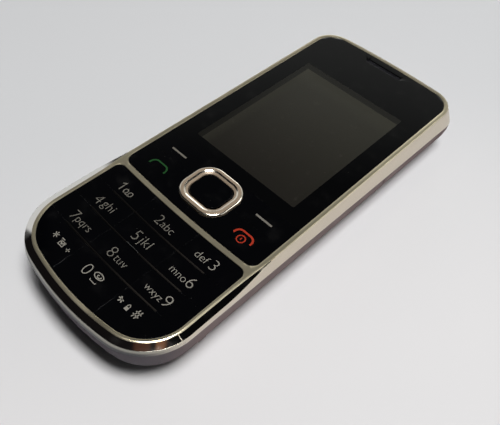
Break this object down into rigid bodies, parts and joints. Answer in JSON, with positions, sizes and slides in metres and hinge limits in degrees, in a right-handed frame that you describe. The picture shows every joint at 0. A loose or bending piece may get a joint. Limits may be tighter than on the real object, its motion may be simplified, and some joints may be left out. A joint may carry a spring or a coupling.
{
  "type": "feature phone",
  "caption": "Candybar feature phone with a satin silver frame, black display window, rocking navigation ring, number keypad with raised row ribs and a slide-off rear cover.",
  "frame": {"origin": "middle of the phone's footprint on the plane of its flat back", "axes": "+X to the right of the keypad, +Y towards the earpiece end, +Z out of the display"},
  "size_m": [0.046, 0.1096, 0.014],
  "materials": {
    "satin_silver": "satin metallised plastic",
    "bright_trim": "mirror bright",
    "nav_silver": "satin metallised plastic",
    "window_black": "polished",
    "key_black": "gloss",
    "rib_grey": "satin",
    "tape": "matt",
    "mesh_grey": "woven",
    "silicone": "matt",
    "film": "matt",
    "steel": "bright",
    "display": "anti-glare",
    "ribbon": "satin",
    "board_green": "solder mask",
    "moulded_black": "matt",
    "contact_gold": "plated",
    "battery_wrap": "satin",
    "body_dark": "semi-gloss"
  },
  "bodies": {
    "phone": {"front_frame": "satin_silver", "keypad_trim": "bright_trim", "display_window": "window_black", "window_tape": "tape", "earpiece_mesh": "mesh_grey", "earpiece": "moulded_black", "row_ribs": "rib_grey", "keypad_web": "silicone", "dome_sheet": "film", "key_domes": "steel", "lcd_panel": "display", "lcd_frame": "film", "lcd_ribbon": "ribbon", "main_board": "board_green", "baseband_shield": "steel", "radio_shield": "steel", "microphone": "steel", "loudspeaker": "moulded_black", "vibration_motor": "steel", "camera_module": "moulded_black", "camera_window": "window_black", "camera_trim": "bright_trim", "audio_jack": "moulded_black", "charging_socket": "moulded_black", "data_socket": "steel", "sim_holder": "steel", "sim_card": "film", "card_holder": "steel", "battery_connector": "contact_gold", "battery": "battery_wrap", "rear_chassis": "body_dark", "antenna": "contact_gold", "housing_screws": "steel"},
    "key_1": {"key_1": "key_black"},
    "key_2": {"key_2": "key_black"},
    "key_3": {"key_3": "key_black"},
    "key_4": {"key_4": "key_black"},
    "key_5": {"key_5": "key_black"},
    "key_6": {"key_6": "key_black"},
    "key_7": {"key_7": "key_black"},
    "key_8": {"key_8": "key_black"},
    "key_9": {"key_9": "key_black"},
    "key_star": {"key_star": "key_black"},
    "key_0": {"key_0": "key_black"},
    "key_hash": {"key_hash": "key_black"},
    "left_soft_key": {"left_soft_key": "key_black"},
    "right_soft_key": {"right_soft_key": "key_black"},
    "call_key": {"call_key": "key_black"},
    "end_key": {"end_key": "key_black"},
    "select_key": {"select_key": "key_black"},
    "nav_ring": {"nav_ring": "nav_silver"},
    "nav_pad": {"nav_pad": "silicone"},
    "vibration_weight": {"vibration_weight": "steel"},
    "rear_cover": {"rear_cover": "body_dark"},
    "card_door": {"card_door": "body_dark"}
  },
  "joints": [
    {"name": "key_1_press", "type": "slide", "parent": "phone", "child": "key_1", "axis": [0, 0, -1], "range_m": [0, 0.0003], "stiffness_N_per_m": 600},
    {"name": "key_2_press", "type": "slide", "parent": "phone", "child": "key_2", "axis": [0, 0, -1], "range_m": [0, 0.0003], "stiffness_N_per_m": 600},
    {"name": "key_3_press", "type": "slide", "parent": "phone", "child": "key_3", "axis": [0, 0, -1], "range_m": [0, 0.0003], "stiffness_N_per_m": 600},
    {"name": "key_4_press", "type": "slide", "parent": "phone", "child": "key_4", "axis": [0, 0, -1], "range_m": [0, 0.0003], "stiffness_N_per_m": 600},
    {"name": "key_5_press", "type": "slide", "parent": "phone", "child": "key_5", "axis": [0, 0, -1], "range_m": [0, 0.0003], "stiffness_N_per_m": 600},
    {"name": "key_6_press", "type": "slide", "parent": "phone", "child": "key_6", "axis": [0, 0, -1], "range_m": [0, 0.0003], "stiffness_N_per_m": 600},
    {"name": "key_7_press", "type": "slide", "parent": "phone", "child": "key_7", "axis": [0, 0, -1], "range_m": [0, 0.0003], "stiffness_N_per_m": 600},
    {"name": "key_8_press", "type": "slide", "parent": "phone", "child": "key_8", "axis": [0, 0, -1], "range_m": [0, 0.0003], "stiffness_N_per_m": 600},
    {"name": "key_9_press", "type": "slide", "parent": "phone", "child": "key_9", "axis": [0, 0, -1], "range_m": [0, 0.0003], "stiffness_N_per_m": 600},
    {"name": "key_star_press", "type": "slide", "parent": "phone", "child": "key_star", "axis": [0, 0, -1], "range_m": [0, 0.0003], "stiffness_N_per_m": 600},
    {"name": "key_0_press", "type": "slide", "parent": "phone", "child": "key_0", "axis": [0, 0, -1], "range_m": [0, 0.0003], "stiffness_N_per_m": 600},
    {"name": "key_hash_press", "type": "slide", "parent": "phone", "child": "key_hash", "axis": [0, 0, -1], "range_m": [0, 0.0003], "stiffness_N_per_m": 600},
    {"name": "left_soft_key_press", "type": "slide", "parent": "phone", "child": "left_soft_key", "axis": [0, 0, -1], "range_m": [0, 0.0003], "stiffness_N_per_m": 600},
    {"name": "right_soft_key_press", "type": "slide", "parent": "phone", "child": "right_soft_key", "axis": [0, 0, -1], "range_m": [0, 0.0003], "stiffness_N_per_m": 600},
    {"name": "call_key_press", "type": "slide", "parent": "phone", "child": "call_key", "axis": [0, 0, -1], "range_m": [0, 0.0003], "stiffness_N_per_m": 600},
    {"name": "end_key_press", "type": "slide", "parent": "phone", "child": "end_key", "axis": [0, 0, -1], "range_m": [0, 0.0003], "stiffness_N_per_m": 600},
    {"name": "select_key_press", "type": "slide", "parent": "phone", "child": "select_key", "axis": [0, 0, -1], "range_m": [0, 0.0003], "stiffness_N_per_m": 600},
    {"name": "nav_rock_sideways", "type": "hinge", "parent": "phone", "child": "nav_pad", "pos_m": [0, -0.01505, 0.01121], "axis": [0, 1, 0], "range_deg": [-2.5, 2.5], "stiffness_Nm_per_rad": 0.02},
    {"name": "nav_rock_lengthways", "type": "hinge", "parent": "nav_pad", "child": "nav_ring", "pos_m": [0, -0.01505, 0.01181], "axis": [1, 0, 0], "range_deg": [-2.5, 2.5], "stiffness_Nm_per_rad": 0.02},
    {"name": "card_door_hinge", "type": "hinge", "parent": "phone", "child": "card_door", "pos_m": [0.02225, 0.02145, 0.0075], "axis": [0, 0, -1], "range_deg": [0, 95]},
    {"name": "rear_cover_slide", "type": "slide", "parent": "phone", "child": "rear_cover", "axis": [0, -1, 0], "range_m": [0, 0.088]},
    {"name": "vibration_spin", "type": "hinge", "parent": "phone", "child": "vibration_weight", "pos_m": [-0.0155, 0.0226, 0.00735], "axis": [0, 1, 0], "continuous": true}
  ]
}
